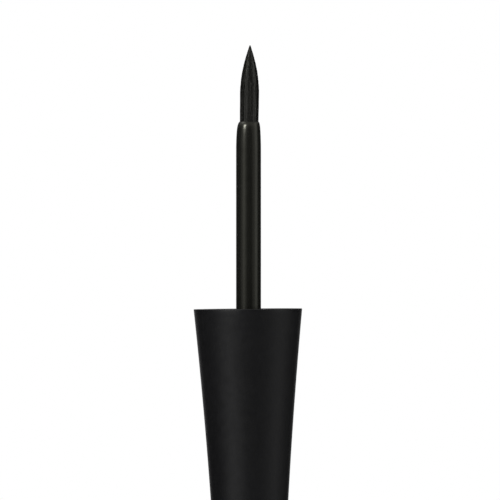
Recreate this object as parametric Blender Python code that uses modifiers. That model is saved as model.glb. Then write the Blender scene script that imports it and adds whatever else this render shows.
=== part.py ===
"""A liquid eyeliner: its bottle standing open, and its applicator standing on its crown beside it.

Metres, Z up. The origin is the centre of the bottle's base. Every round piece is turned about a
vertical axis: the bottle's is at x = 0, the applicator's is at x = STAND_OFF. Outlines are lists of
(radius, height) points that run down the outer side of the piece.
"""

import bpy
import bmesh
from math import cos, pi, radians, sin, sqrt

# The applicator's cap, measured from its mouth down to its crown.
CAP_LENGTH = 0.068
MOUTH_RADIUS = 0.0080
MOUTH_FLARE = 0.099
CROWN_RADIUS = 0.0042
CROWN_EDGE_ROUND = 0.0006
CAP_WALL = 0.0010
CROWN_WALL = 0.0012
RIM_ROUND = 0.0002

# The threaded insert inside the cap.
INSERT_RECESS = 0.0005
INSERT_FLANGE = 0.0008
INSERT_WEB = 0.0012
SOCKET_DEPTH = 0.0058
SOCKET_FLOOR = 0.0010
BOSS_WALL = 0.0011
SEAL_THICKNESS = 0.0008
SEAL_BAND = 0.0022

# The stem and its brush, above the cap's mouth.
STEM_RADIUS = 0.00184
STEM_REACH = 0.02755
STEM_NOSE_TAPER = 0.00015
STEM_NOSE_LENGTH = 0.0031
STEM_NOSE_ROUND = 0.0008
BARB_HEIGHT = 0.00014
BARB_PITCH = 0.0012
BARB_COUNT = 3
BRUSH_LENGTH = 0.01140
BRUSH_RADIUS = 0.00140
BRUSH_POINT_LENGTH = 0.00694
BRUSH_POINT_POWER = 1.9
BRUSH_SOCKET_DEPTH = 0.0040
ROOT_GROOVE_COUNT = 2
ROOT_GROOVE_DEPTH = 0.00014
STRAND_COUNT = 300
STRAND_RADIUS = 0.000052
STRAND_BEND_SHARE = 0.55
STRAND_TIP_SHARE = 0.2
STRAND_GATHER = 0.3
STRAND_BACKING = 0.0004

# The bottle, from its base up to its shoulder, and the neck above that.
BODY_HEIGHT = 0.042
BASE_RADIUS = 0.0076
BASE_EDGE_ROUND = 0.0004
SLEEVE_WALL = 0.0010
PLUG_FLANGE = 0.0012
PLUG_SPIGOT = 0.0022
PLUG_SPIGOT_WALL = 0.0006
COLLAR_FLANGE = 0.0008
COLLAR_PLATE = 0.0012
COLLAR_SPIGOT = 0.0016
COLLAR_SPIGOT_WALL = 0.0008
VIAL_WALL = 0.0008
VIAL_SHOULDER_RISE = 0.0015
NECK_RADIUS = 0.0040
NECK_WALL = 0.0009
NECK_HEIGHT = 0.0090
NECK_LAND_RISE = 0.0004

# The screw thread that the neck and the insert share.
THREAD_DEPTH = 0.0005
THREAD_LEAD = 0.0025
THREAD_TURNS = 1.5
THREAD_START = 0.0022
THREAD_CLEARANCE = 0.00015

# The wiper in the neck, and the ball in the vial.
WIPER_WALL = 0.0005
WIPER_FLANGE = 0.0006
WIPER_FLANGE_INSET = 0.0002
WIPER_LENGTH = 0.0060
WIPER_CONE = 0.0025
WIPER_GRIP = 0.0001
BALL_RADIUS = 0.0015
BALL_WALL_GAP = 0.0002

# How pieces stand apart: sliding fits, seats, and the open mouth of the closed cap.
SLIDE_FIT = 0.0001
SEAT_GAP = 0.0002
CLOSED_GAP = 0.0003
STAND_OFF = 0.048
LIFT_OVER_NECK = 0.002

# How finely round shapes are divided.
WIDE_SEGMENTS = 40
SLIM_SEGMENTS = 32
BALL_SEGMENTS = 20
BALL_RINGS = 12
FADE_STEPS = 8
CORNER_STEPS = 3
WALL_STEPS = 9
MERGE = 0.0000005
SHARP_ANGLE = radians(40)

# Heights that follow from the sizes above.
PLUG_TOP = PLUG_FLANGE + SEAT_GAP
NECK_TOP = BODY_HEIGHT + NECK_HEIGHT
WIPER_TOP = NECK_TOP + SEAT_GAP + WIPER_FLANGE
MOUTH_Z = CAP_LENGTH
NOSE_Z = MOUTH_Z + STEM_REACH
TIP_Z = NOSE_Z + BRUSH_LENGTH
PIVOT_X = STAND_OFF / 2
PIVOT_Z = (WIPER_TOP + LIFT_OVER_NECK + TIP_Z) / 2

# The insert's depths below the cap's mouth: the seal meets the wiper when the cap is closed.
SEAL_FACE = WIPER_TOP - BODY_HEIGHT - CLOSED_GAP
WEB_TOP = SEAL_FACE + SEAL_THICKNESS + SLIDE_FIT
WEB_BOTTOM = WEB_TOP + INSERT_WEB
SOCKET_BOTTOM = WEB_TOP + SOCKET_DEPTH

# The radii that the thread sets.
THREAD_CREST = NECK_RADIUS + THREAD_DEPTH
INSERT_BORE = THREAD_CREST + THREAD_CLEARANCE


def clear_scene():
    """Removes what the scene holds, and makes one collection for the parts and one for cutters."""
    for obj in list(bpy.data.objects):
        bpy.data.objects.remove(obj, do_unlink=True)
    made = []
    for name in ("liquid_eyeliner_bottle", "cutters"):
        group = bpy.data.collections.new(name)
        bpy.context.scene.collection.children.link(group)
        made.append(group)
    return made


PARTS, CUTTERS = clear_scene()


def carrier(name, x, z):
    """An empty that carries the pieces of one moving body, on its joint's axis."""
    empty = bpy.data.objects.new(name, None)
    empty.location = (x, 0.0, z)
    empty.empty_display_size = BALL_RADIUS
    PARTS.objects.link(empty)
    return empty


def look(name, colour, roughness, metallic=0.0):
    """A plain finish: colour, roughness and whether it is metal."""
    material = bpy.data.materials.new(name)
    material.use_nodes = True
    shader = material.node_tree.nodes["Principled BSDF"]
    shader.inputs["Base Color"].default_value = (*colour, 1.0)
    shader.inputs["Roughness"].default_value = roughness
    shader.inputs["Metallic"].default_value = metallic
    material.diffuse_color = (*colour, 1.0)
    return material


def baked(obj):
    """Turns an object's modifiers into its mesh, smooth where it is round."""
    graph = bpy.context.evaluated_depsgraph_get()
    mesh = bpy.data.meshes.new_from_object(obj.evaluated_get(graph))
    mesh.name = obj.name
    obj.modifiers.clear()
    obj.data = mesh
    mesh.shade_smooth()
    mesh.set_sharp_from_angle(angle=SHARP_ANGLE)


def placed(obj, parent, x, z, material):
    """Puts a piece at its place in the world, under the empty that carries it."""
    obj.parent = parent
    obj.location = (x - parent.location.x, 0.0, z - parent.location.z)
    obj.data.materials.clear()
    obj.data.materials.append(material)
    return obj


def turned(name, outline, segments, ring=False):
    """A turned solid. A ring's outline closes on itself, any other starts and ends on the axis."""
    count = len(outline)
    edges = [(i, i + 1) for i in range(count - 1)]
    if ring:
        edges.append((count - 1, 0))
    mesh = bpy.data.meshes.new(name)
    mesh.from_pydata([(r, 0.0, z) for r, z in outline], edges, [])
    obj = bpy.data.objects.new(name, mesh)
    PARTS.objects.link(obj)
    turn = obj.modifiers.new("turn", "SCREW")
    turn.axis = "Z"
    turn.steps = segments
    turn.render_steps = segments
    turn.use_merge_vertices = True
    turn.merge_threshold = MERGE
    turn.use_smooth_shade = True
    return obj


def arc(centre, radius, start, end, steps=CORNER_STEPS):
    """Points along an arc of an outline. Angles are degrees from outwards, and 90 is up."""
    angles = [radians(start + (end - start) * i / steps) for i in range(steps + 1)]
    return [(centre[0] + radius * cos(a), centre[1] + radius * sin(a)) for a in angles]


def wall(radius_at, top, bottom, steps=WALL_STEPS):
    """Points down a curved wall, from a radius that is a function of height."""
    heights = [top + (bottom - top) * i / steps for i in range(steps + 1)]
    return [(radius_at(z), z) for z in heights]


def solid_from_curve(obj):
    """Makes a curve a closed mesh, in the cutters' collection, and removes the curve."""
    graph = bpy.context.evaluated_depsgraph_get()
    mesh = bpy.data.meshes.new_from_object(obj.evaluated_get(graph))
    shape = bmesh.new()
    shape.from_mesh(mesh)
    bmesh.ops.remove_doubles(shape, verts=shape.verts, dist=MERGE)
    bmesh.ops.recalc_face_normals(shape, faces=shape.faces)
    shape.to_mesh(mesh)
    shape.free()
    solid = bpy.data.objects.new(obj.name + "_solid", mesh)
    solid.matrix_world = obj.matrix_world.copy()
    solid.hide_render = True
    solid.display_type = "WIRE"
    CUTTERS.objects.link(solid)
    bpy.data.objects.remove(obj, do_unlink=True)
    return solid


def joined(obj, other):
    """Unites a piece with a solid, and drops the solid."""
    union = obj.modifiers.new("union", "BOOLEAN")
    union.operation = "UNION"
    union.solver = "EXACT"
    union.use_self = True
    union.object = other
    baked(obj)
    bpy.data.objects.remove(other, do_unlink=True)


def curve_object(name, bevel_depth=0.0, twist="MINIMUM"):
    """An empty curve in the cutters' collection, whose tube has caps."""
    curve = bpy.data.curves.new(name, "CURVE")
    curve.dimensions = "3D"
    curve.twist_mode = twist
    curve.bevel_depth = bevel_depth
    curve.bevel_resolution = 0
    curve.use_fill_caps = True
    obj = bpy.data.objects.new(name, curve)
    CUTTERS.objects.link(obj)
    return obj


def thread_ridge(name, radius, start_z):
    """A right-handed screw ridge of diamond section, which fades in and out at its ends."""
    obj = curve_object(name, THREAD_DEPTH, twist="Z_UP")
    steps = round(THREAD_TURNS * WIDE_SEGMENTS)
    spline = obj.data.splines.new("POLY")
    spline.points.add(steps)
    for i, point in enumerate(spline.points):
        turns = THREAD_TURNS * i / steps
        angle = 2 * pi * turns
        height = start_z + THREAD_LEAD * turns
        point.co = (radius * cos(angle), radius * sin(angle), height, 1.0)
        point.radius = min(1.0, (1 + min(i, steps - i)) / FADE_STEPS)
    return solid_from_curve(obj)


def cap_radius(z):
    """The cap's outer radius: widest at the mouth, and almost straight at the crown."""
    depth = MOUTH_Z - z
    bend = (CROWN_RADIUS - MOUTH_RADIUS + MOUTH_FLARE * CAP_LENGTH) / CAP_LENGTH ** 2
    return MOUTH_RADIUS - MOUTH_FLARE * depth + bend * depth ** 2


def cap_bore(z):
    """The radius of the cap's inner wall."""
    return cap_radius(z) - CAP_WALL


def body_radius(z):
    """The bottle's outer radius: it carries on the cap's flare, swells and narrows to the base."""
    drop = BODY_HEIGHT - z
    bend = (MOUTH_RADIUS + MOUTH_FLARE * BODY_HEIGHT - BASE_RADIUS) / BODY_HEIGHT ** 2
    return MOUTH_RADIUS + MOUTH_FLARE * drop - bend * drop ** 2


def sleeve_bore(z):
    """The radius of the sleeve's inner wall."""
    return body_radius(z) - SLEEVE_WALL


def plug_spigot_radius():
    """The plug's spigot slides into the foot of the sleeve."""
    return sleeve_bore(PLUG_TOP) - SLIDE_FIT


def vial_radius():
    """The vial stands inside the plug's spigot."""
    return plug_spigot_radius() - PLUG_SPIGOT_WALL - SLIDE_FIT


def vial_floor():
    """The height of the vial's floor inside."""
    return PLUG_TOP + VIAL_WALL


def base_plug(parent):
    """The flat foot that closes the sleeve, with a spigot round the vial."""
    inner = plug_spigot_radius() - PLUG_SPIGOT_WALL
    outer = plug_spigot_radius()
    spigot_top = PLUG_TOP + PLUG_SPIGOT
    edge = (body_radius(0) - BASE_EDGE_ROUND, BASE_EDGE_ROUND)
    outline = [(0, PLUG_FLANGE), (inner, PLUG_FLANGE), (inner, spigot_top), (outer, spigot_top)]
    outline += [(outer, PLUG_FLANGE), (body_radius(PLUG_FLANGE), PLUG_FLANGE)]
    outline += arc(edge, BASE_EDGE_ROUND, 0, -90)
    outline.append((0, 0))
    obj = turned("base_plug", outline, WIDE_SEGMENTS)
    baked(obj)
    return placed(obj, parent, 0, 0, look("plug_black", (0.012, 0.012, 0.013), 0.5))


def bottle_sleeve(parent):
    """The outer sleeve that the hand holds: a swelling tube, open at both ends."""
    top = BODY_HEIGHT - COLLAR_FLANGE - SEAT_GAP
    outline = wall(body_radius, top, PLUG_TOP)
    outline += wall(sleeve_bore, PLUG_TOP, top)
    obj = turned("bottle_sleeve", outline, WIDE_SEGMENTS, ring=True)
    baked(obj)
    return placed(obj, parent, 0, 0, look("sleeve_black", (0.012, 0.012, 0.013), 0.45))


def shoulder_collar(parent):
    """The ring that closes the sleeve's top and holds the vial down by its shoulder."""
    bore = THREAD_CREST + SLIDE_FIT
    flange_z = BODY_HEIGHT - COLLAR_FLANGE
    plate_z = BODY_HEIGHT - COLLAR_PLATE
    spigot_z = flange_z - COLLAR_SPIGOT
    outer = sleeve_bore(flange_z - SEAT_GAP) - SLIDE_FIT
    edge = (MOUTH_RADIUS - RIM_ROUND, BODY_HEIGHT - RIM_ROUND)
    outline = [(bore, BODY_HEIGHT)]
    outline += arc(edge, RIM_ROUND, 90, 0)
    outline += [(body_radius(flange_z), flange_z), (outer, flange_z), (outer, spigot_z)]
    outline += [(outer - COLLAR_SPIGOT_WALL, spigot_z), (outer - COLLAR_SPIGOT_WALL, plate_z)]
    outline.append((bore, plate_z))
    obj = turned("shoulder_collar", outline, WIDE_SEGMENTS, ring=True)
    baked(obj)
    return placed(obj, parent, 0, 0, look("collar_black", (0.012, 0.012, 0.013), 0.4))


def vial(parent):
    """The inner bottle that holds the liquid, with its screw neck."""
    shoulder_top = BODY_HEIGHT - COLLAR_PLATE - SEAT_GAP
    shoulder_foot = shoulder_top - VIAL_SHOULDER_RISE
    land_top = BODY_HEIGHT + NECK_LAND_RISE
    outer = vial_radius()
    inner = outer - VIAL_WALL
    bore = NECK_RADIUS - NECK_WALL
    lip = (NECK_RADIUS - RIM_ROUND, NECK_TOP - RIM_ROUND)
    heel = (outer - VIAL_WALL, PLUG_TOP + VIAL_WALL)
    outline = [(0, vial_floor()), (inner, vial_floor()), (inner, shoulder_foot)]
    outline += [(bore, shoulder_top), (bore, NECK_TOP)]
    outline += arc(lip, RIM_ROUND, 90, 0)
    outline += [(NECK_RADIUS, land_top), (THREAD_CREST, land_top), (THREAD_CREST, shoulder_top)]
    outline.append((outer, shoulder_foot))
    outline += arc(heel, VIAL_WALL, 0, -90)
    outline.append((0, PLUG_TOP))
    obj = turned("vial", outline, WIDE_SEGMENTS)
    joined(obj, thread_ridge("neck_thread", NECK_RADIUS, BODY_HEIGHT + THREAD_START))
    return placed(obj, parent, 0, 0, look("vial_black", (0.010, 0.010, 0.011), 0.3))


def wiper(parent):
    """The soft insert in the neck, whose lip strips the stem as it is drawn out."""
    flange = NECK_RADIUS - WIPER_FLANGE_INSET
    flange_z = NECK_TOP + SEAT_GAP
    outer = NECK_RADIUS - NECK_WALL - SLIDE_FIT
    cone_top = NECK_TOP - WIPER_LENGTH
    cone_foot = cone_top - WIPER_CONE
    hole = STEM_RADIUS + WIPER_GRIP
    outline = [(outer - WIPER_WALL, WIPER_TOP), (flange, WIPER_TOP), (flange, flange_z)]
    outline += [(outer, flange_z), (outer, cone_top), (hole + WIPER_WALL, cone_foot)]
    outline += [(hole, cone_foot), (outer - WIPER_WALL, cone_top)]
    obj = turned("wiper", outline, SLIM_SEGMENTS, ring=True)
    baked(obj)
    return placed(obj, parent, 0, 0, look("wiper_natural", (0.70, 0.70, 0.66), 0.5))


def ball_place():
    """Where the ball lies: beside the wand's path, on the vial's floor."""
    return vial_radius() - VIAL_WALL - BALL_WALL_GAP - BALL_RADIUS, vial_floor() + SEAT_GAP + BALL_RADIUS


def mixing_ball():
    """The steel ball that stirs the liquid when the bottle is shaken."""
    x, z = ball_place()
    track = carrier("ball_track", x, z)
    mesh = bpy.data.meshes.new("mixing_ball")
    shape = bmesh.new()
    bmesh.ops.create_uvsphere(
        shape, u_segments=BALL_SEGMENTS, v_segments=BALL_RINGS, radius=BALL_RADIUS
    )
    shape.to_mesh(mesh)
    shape.free()
    mesh.shade_smooth()
    obj = bpy.data.objects.new("mixing_ball", mesh)
    PARTS.objects.link(obj)
    return placed(obj, track, x, z, look("ball_steel", (0.55, 0.55, 0.56), 0.15, 1.0))


def cap_shell(parent):
    """The outer cap, which is also the applicator's handle: a flared cup with a closed crown."""
    rim_z = MOUTH_Z - RIM_ROUND
    inner_rim = (cap_bore(rim_z) + RIM_ROUND, rim_z)
    outer_rim = (cap_radius(rim_z) - RIM_ROUND, rim_z)
    crown = (cap_radius(CROWN_EDGE_ROUND) - CROWN_EDGE_ROUND, CROWN_EDGE_ROUND)
    outline = [(0, CROWN_WALL)]
    outline += wall(cap_bore, CROWN_WALL, rim_z, steps=WALL_STEPS - CORNER_STEPS)[:-1]
    outline += arc(inner_rim, RIM_ROUND, 180, 90)
    outline += arc(outer_rim, RIM_ROUND, 90, 0)
    outline += wall(cap_radius, rim_z, CROWN_EDGE_ROUND)[1:-1]
    outline += arc(crown, CROWN_EDGE_ROUND, 0, -90)
    outline.append((0, 0))
    obj = turned("cap_shell", outline, WIDE_SEGMENTS)
    baked(obj)
    return placed(obj, parent, STAND_OFF, 0, look("cap_satin_black", (0.012, 0.012, 0.013), 0.45))


def cap_insert(parent):
    """The threaded inner cap: it closes the mouth round the stem and holds the stem's root."""
    flange_top = MOUTH_Z - INSERT_RECESS
    flange_foot = flange_top - INSERT_FLANGE
    web_top = MOUTH_Z - WEB_TOP
    web_foot = MOUTH_Z - WEB_BOTTOM
    socket_z = MOUTH_Z - SOCKET_BOTTOM
    boss_z = socket_z - SOCKET_FLOOR
    socket = STEM_RADIUS + SLIDE_FIT
    seat = cap_bore(web_foot) - SLIDE_FIT
    flange = cap_bore(flange_foot) - SLIDE_FIT
    outline = [(0, socket_z), (socket, socket_z), (socket, web_top), (INSERT_BORE, web_top)]
    outline += [(INSERT_BORE, flange_top), (flange, flange_top), (flange, flange_foot)]
    outline += [(seat, flange_foot), (seat, web_foot), (socket + BOSS_WALL, web_foot)]
    outline += [(socket + BOSS_WALL, boss_z), (0, boss_z)]
    obj = turned("cap_insert", outline, WIDE_SEGMENTS)
    joined(obj, thread_ridge("insert_thread", INSERT_BORE, insert_thread_foot()))
    return placed(obj, parent, STAND_OFF, 0, look("insert_black", (0.010, 0.010, 0.011), 0.35))


def insert_thread_foot():
    """The height at which the insert's ridge starts: it ends beside the neck's when the cap is closed."""
    return MOUTH_Z - THREAD_START - THREAD_LEAD / 4 - THREAD_LEAD * THREAD_TURNS


def neck_seal(parent):
    """The foam washer on the insert's web, which the closed cap presses on the wiper."""
    foot = MOUTH_Z - WEB_TOP + SLIDE_FIT
    top = foot + SEAL_THICKNESS
    inner = STEM_RADIUS + SLIDE_FIT
    outer = inner + SEAL_BAND
    outline = [(inner, top), (outer, top), (outer, foot), (inner, foot)]
    obj = turned("neck_seal", outline, SLIM_SEGMENTS, ring=True)
    baked(obj)
    return placed(obj, parent, STAND_OFF, 0, look("seal_foam", (0.55, 0.55, 0.53), 0.9))


def barbs(foot):
    """The stem's root, from its top down: rings that bite in the insert's socket."""
    points = []
    for i in range(BARB_COUNT, 0, -1):
        ring_z = foot + BARB_PITCH * i
        points.append((STEM_RADIUS, ring_z))
        points.append((STEM_RADIUS - BARB_HEIGHT, ring_z - BARB_PITCH / 4))
        points.append((STEM_RADIUS - BARB_HEIGHT, ring_z - BARB_PITCH / 2))
    return points


def stem(parent):
    """The rod that carries the brush: round-nosed, with a blind socket for the brush's root."""
    foot = MOUTH_Z - SOCKET_BOTTOM + SEAT_GAP
    socket = BRUSH_RADIUS + SLIDE_FIT / 2
    neck = STEM_RADIUS - STEM_NOSE_TAPER
    outline = [(0, NOSE_Z - BRUSH_SOCKET_DEPTH), (socket, NOSE_Z - BRUSH_SOCKET_DEPTH)]
    for i in range(CORNER_STEPS + 1):
        angle = radians(90 - 90 * i / CORNER_STEPS)
        radius = socket + (neck - socket) * cos(angle)
        outline.append((radius, NOSE_Z - STEM_NOSE_ROUND * (1 - sin(angle))))
    for i in range(1, CORNER_STEPS + 1):
        share = i / CORNER_STEPS
        swell = STEM_NOSE_TAPER * (1 - (1 - share) ** 2)
        outline.append((neck + swell, NOSE_Z - STEM_NOSE_ROUND - STEM_NOSE_LENGTH * share))
    outline += barbs(foot)
    outline += [(STEM_RADIUS - BARB_HEIGHT, foot), (0, foot)]
    obj = turned("stem", outline, SLIM_SEGMENTS)
    baked(obj)
    return placed(obj, parent, STAND_OFF, 0, look("stem_black", (0.009, 0.009, 0.008), 0.25))


def brush_root(parent):
    """The melted end of the fibres, a plug with two grooves, pressed into the stem."""
    foot = NOSE_Z - BRUSH_SOCKET_DEPTH + SEAT_GAP
    top = NOSE_Z - SLIDE_FIT - STRAND_BACKING - SEAT_GAP
    radius = BRUSH_RADIUS - SLIDE_FIT / 2
    groove = radius - ROOT_GROOVE_DEPTH
    pitch = (top - foot) / (ROOT_GROOVE_COUNT + 1)
    outline = [(0, top), (radius, top)]
    for i in range(ROOT_GROOVE_COUNT, 0, -1):
        middle = foot + pitch * i
        outline.append((radius, middle + ROOT_GROOVE_DEPTH))
        outline.append((groove, middle))
        outline.append((radius, middle - ROOT_GROOVE_DEPTH))
    outline += [(radius, foot), (0, foot)]
    obj = turned("brush_root", outline, SLIM_SEGMENTS)
    baked(obj)
    return placed(obj, parent, STAND_OFF, 0, look("root_nylon", (0.02, 0.02, 0.021), 0.5))


def tuft_share(height):
    """The tuft's radius at a height over the stem's nose, as a share of its full radius."""
    along = max(0.0, height - BRUSH_LENGTH + BRUSH_POINT_LENGTH) / BRUSH_POINT_LENGTH
    return 1 - min(1.0, along) ** BRUSH_POINT_POWER


def strand_length(share):
    """The height at which a strand that roots at a share of the tuft's radius reaches its outside."""
    envelope = share ** (1 / (1 - STRAND_GATHER))
    along = (1 - envelope) ** (1 / BRUSH_POINT_POWER)
    return BRUSH_LENGTH - BRUSH_POINT_LENGTH * (1 - along)


def strands():
    """The tuft's fibres: three-sided, spread as a sunflower's seeds, gathering towards the point."""
    section = curve_object("strand_section")
    corners = section.data.splines.new("POLY")
    corners.points.add(2)
    corners.use_cyclic_u = True
    for i, point in enumerate(corners.points):
        angle = 2 * pi * i / 3
        point.co = (STRAND_RADIUS * cos(angle), STRAND_RADIUS * sin(angle), 0.0, 1.0)
    obj = curve_object("strands")
    obj.data.bevel_mode = "OBJECT"
    obj.data.bevel_object = section
    spread = BRUSH_RADIUS - STRAND_RADIUS
    golden_angle = pi * (3 - sqrt(5))
    for i in range(STRAND_COUNT):
        share = sqrt((i + 0.5) / STRAND_COUNT)
        angle = i * golden_angle
        length = strand_length(share)
        spline = obj.data.splines.new("POLY")
        spline.points.add(2)
        heights = (-STRAND_BACKING / 2, STRAND_BEND_SHARE * length, length)
        for point, height, width in zip(spline.points, heights, (1.0, 1.0, STRAND_TIP_SHARE)):
            reach = spread * share * tuft_share(height) ** STRAND_GATHER
            point.co = (reach * cos(angle), reach * sin(angle), NOSE_Z - SLIDE_FIT + height, 1.0)
            point.radius = width
    bpy.context.view_layer.update()
    solid = solid_from_curve(obj)
    bpy.data.objects.remove(section, do_unlink=True)
    return solid


def brush_tuft(parent):
    """The brush: fibres that stand on a slice of their fused end and come to a point."""
    top = NOSE_Z - SLIDE_FIT
    foot = top - STRAND_BACKING
    outline = [(0, top), (BRUSH_RADIUS, top), (BRUSH_RADIUS, foot), (0, foot)]
    obj = turned("brush_tuft", outline, SLIM_SEGMENTS)
    joined(obj, strands())
    return placed(obj, parent, STAND_OFF, 0, look("tuft_black", (0.011, 0.011, 0.012), 0.4))


def build():
    """Builds the bottle on its carrier, the applicator on its own, and the loose ball."""
    bottle = carrier("bottle_carrier", 0, 0)
    for make in (base_plug, bottle_sleeve, shoulder_collar, vial, wiper):
        make(bottle)
    mixing_ball()
    applicator = carrier("applicator_carrier", PIVOT_X, PIVOT_Z)
    for make in (cap_shell, cap_insert, neck_seal, stem, brush_root, brush_tuft):
        make(applicator)


build()
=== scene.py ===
"""A liquid eyeliner: its bottle standing open, and its applicator standing on its crown beside it.

Metres, Z up. The bottle's axis is at x = 0 and the applicator's at x = 0.048. Each section makes
one piece, in the order in which the real object is put together, and the studio comes last.
"""

import math

import bpy
import numpy as np
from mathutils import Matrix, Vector


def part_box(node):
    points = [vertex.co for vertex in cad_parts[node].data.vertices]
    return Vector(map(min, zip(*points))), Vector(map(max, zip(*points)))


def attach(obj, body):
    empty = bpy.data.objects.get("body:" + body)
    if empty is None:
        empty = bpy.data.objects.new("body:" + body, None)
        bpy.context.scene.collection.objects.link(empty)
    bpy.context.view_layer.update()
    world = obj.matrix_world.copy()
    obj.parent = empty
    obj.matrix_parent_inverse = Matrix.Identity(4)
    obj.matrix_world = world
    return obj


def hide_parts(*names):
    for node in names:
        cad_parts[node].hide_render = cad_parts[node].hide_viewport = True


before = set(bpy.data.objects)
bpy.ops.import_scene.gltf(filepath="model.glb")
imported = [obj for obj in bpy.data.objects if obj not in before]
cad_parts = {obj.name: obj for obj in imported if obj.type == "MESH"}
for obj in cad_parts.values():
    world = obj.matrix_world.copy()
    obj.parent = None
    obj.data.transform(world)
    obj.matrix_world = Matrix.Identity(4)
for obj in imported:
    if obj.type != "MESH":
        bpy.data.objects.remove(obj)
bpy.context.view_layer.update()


# The bottle's sleeve.
# The outer tube that the hand holds, moulded in black polypropylene with a satin skin. It is
# open at both ends: the foot plug snaps into one and the shoulder collar into the other.

sleeve_low, sleeve_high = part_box("bottle_sleeve")
shoulder_z = 0.0420
shoulder_radius = 0.0080
shoulder_flare = 0.099
foot_radius = 0.0076
sleeve_wall = 0.0010
sleeve_rim_round = 0.00015
outer_rows = 60
inner_rows = 30
fine_turns = 192
slim_turns = 128
soft_edge_angle = math.radians(40)


def body_radius(z):
    """The bottle's outer radius: a parabola in the drop below the shoulder, which starts with the
    cap's flare and comes in to the foot's radius at z = 0."""
    drop = shoulder_z - z
    bend = (shoulder_radius + shoulder_flare * shoulder_z - foot_radius) / shoulder_z ** 2
    return shoulder_radius + shoulder_flare * drop - bend * drop ** 2


def wall(radius_at, start_z, end_z, steps):
    """Corners with no round along a wall whose radius is a function of height."""
    heights = np.linspace(start_z, end_z, steps + 1)
    return [(float(radius_at(z)), float(z), 0.0) for z in heights]


def rounded(corners, ring=False, steps=6):
    """An outline through corners (radius, height, round), where a round is an arc that touches both
    of the corner's sides. Its points are the arc's centre plus its radius times a unit vector that
    swings evenly from one touching point to the other."""
    corners = np.array(corners, float)
    share = np.linspace(0.0, 1.0, steps + 1)[:, None]
    outline = []
    for i, (radius, height, bend) in enumerate(corners):
        corner = np.array((radius, height))
        if bend == 0.0 or (not ring and i in (0, len(corners) - 1)):
            outline.append(corner[None])
            continue
        back = corners[i - 1, :2] - corner
        ahead = corners[(i + 1) % len(corners), :2] - corner
        back /= np.linalg.norm(back)
        ahead /= np.linalg.norm(ahead)
        half = math.acos(float(np.clip(back @ ahead, -1.0, 1.0))) / 2
        middle = (back + ahead) / np.linalg.norm(back + ahead)
        centre = corner + middle * bend / math.sin(half)
        first = (corner + back * bend / math.tan(half) - centre) / bend
        last = (corner + ahead * bend / math.tan(half) - centre) / bend
        swing = math.pi - 2 * half
        arc = (np.sin((1 - share) * swing) * first + np.sin(share * swing) * last) / math.sin(swing)
        outline.append(centre + bend * arc)
    return np.concatenate(outline)


def piece_from(name, points, faces, body, slot, material, *nodes):
    """A mesh of points and faces, shaded smooth but for its sharp edges, which rides on a CAD body
    and stands for CAD nodes."""
    mesh = bpy.data.meshes.new(name)
    mesh.from_pydata(points.tolist(), [], faces)
    mesh.shade_smooth()
    mesh.set_sharp_from_angle(angle=soft_edge_angle)
    mesh.materials.append(material)
    piece = bpy.data.objects.new(name, mesh)
    bpy.context.scene.collection.objects.link(piece)
    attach(piece, body)
    if nodes:
        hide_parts(*nodes)
    return piece


def turned(outline, turns, centre_x=0.0, ring=False, ridge=None):
    """The points and faces of a turned surface. The point at angle a of the outline's (r, z) is
    (centre_x + R cos a, R sin a, z), where R is r plus what ridge(a, r, z) adds. A ring's outline
    closes on itself. Any other starts and ends on the axis, where the surface closes in a point.
    The outline runs down the outer side, so the faces point outwards."""
    rows = outline if ring else outline[1:-1]
    angle = 2 * np.pi * np.arange(turns)[None] / turns
    radius = rows[:, :1] + np.zeros_like(angle)
    height = rows[:, 1:] + np.zeros_like(angle)
    if ridge is not None:
        radius = radius + ridge(angle, radius, height)
    grid = np.stack((centre_x + radius * np.cos(angle), radius * np.sin(angle), height), axis=2)
    points = grid.reshape(-1, 3)
    side = np.arange(turns)[None]
    beside = (side + 1) % turns
    above = turns * np.arange(len(rows) if ring else len(rows) - 1)[:, None]
    below = (above + turns) % len(points)
    quads = np.stack((above + side, below + side, below + beside, above + beside), axis=2)
    faces = quads.reshape(-1, 4).tolist()
    if not ring:
        ends = [(centre_x, 0.0, outline[0, 1]), (centre_x, 0.0, outline[-1, 1])]
        top, bottom, foot = len(points), len(points) + 1, len(points) - turns
        ones = np.ones(turns, int)
        crown = np.stack((top * ones, side[0], beside[0]), axis=1)
        base = np.stack((foot + side[0], bottom * ones, foot + beside[0]), axis=1)
        points = np.concatenate((points, ends))
        faces += crown.tolist() + base.tolist()
    return points, faces


def node(tree, kind, inputs=None, **settings):
    """Adds a shader node. Inputs are given by name: a socket is linked and a value is set."""
    made = tree.nodes.new("ShaderNode" + kind)
    for name, value in settings.items():
        setattr(made, name, value)
    for name, value in (inputs or {}).items():
        if isinstance(value, bpy.types.NodeSocket):
            tree.links.new(value, made.inputs[name])
        else:
            made.inputs[name].default_value = value
    return made


def effect(name, inputs, outputs):
    """An empty shader node group, its input node and its output node."""
    tree = bpy.data.node_groups.new(name, "ShaderNodeTree")
    for label, kind, value in inputs:
        socket = tree.interface.new_socket(label, in_out="INPUT", socket_type=kind)
        socket.default_value = value
    for label, kind in outputs:
        tree.interface.new_socket(label, in_out="OUTPUT", socket_type=kind)
    return tree, tree.nodes.new("NodeGroupInput"), tree.nodes.new("NodeGroupOutput")


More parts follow.
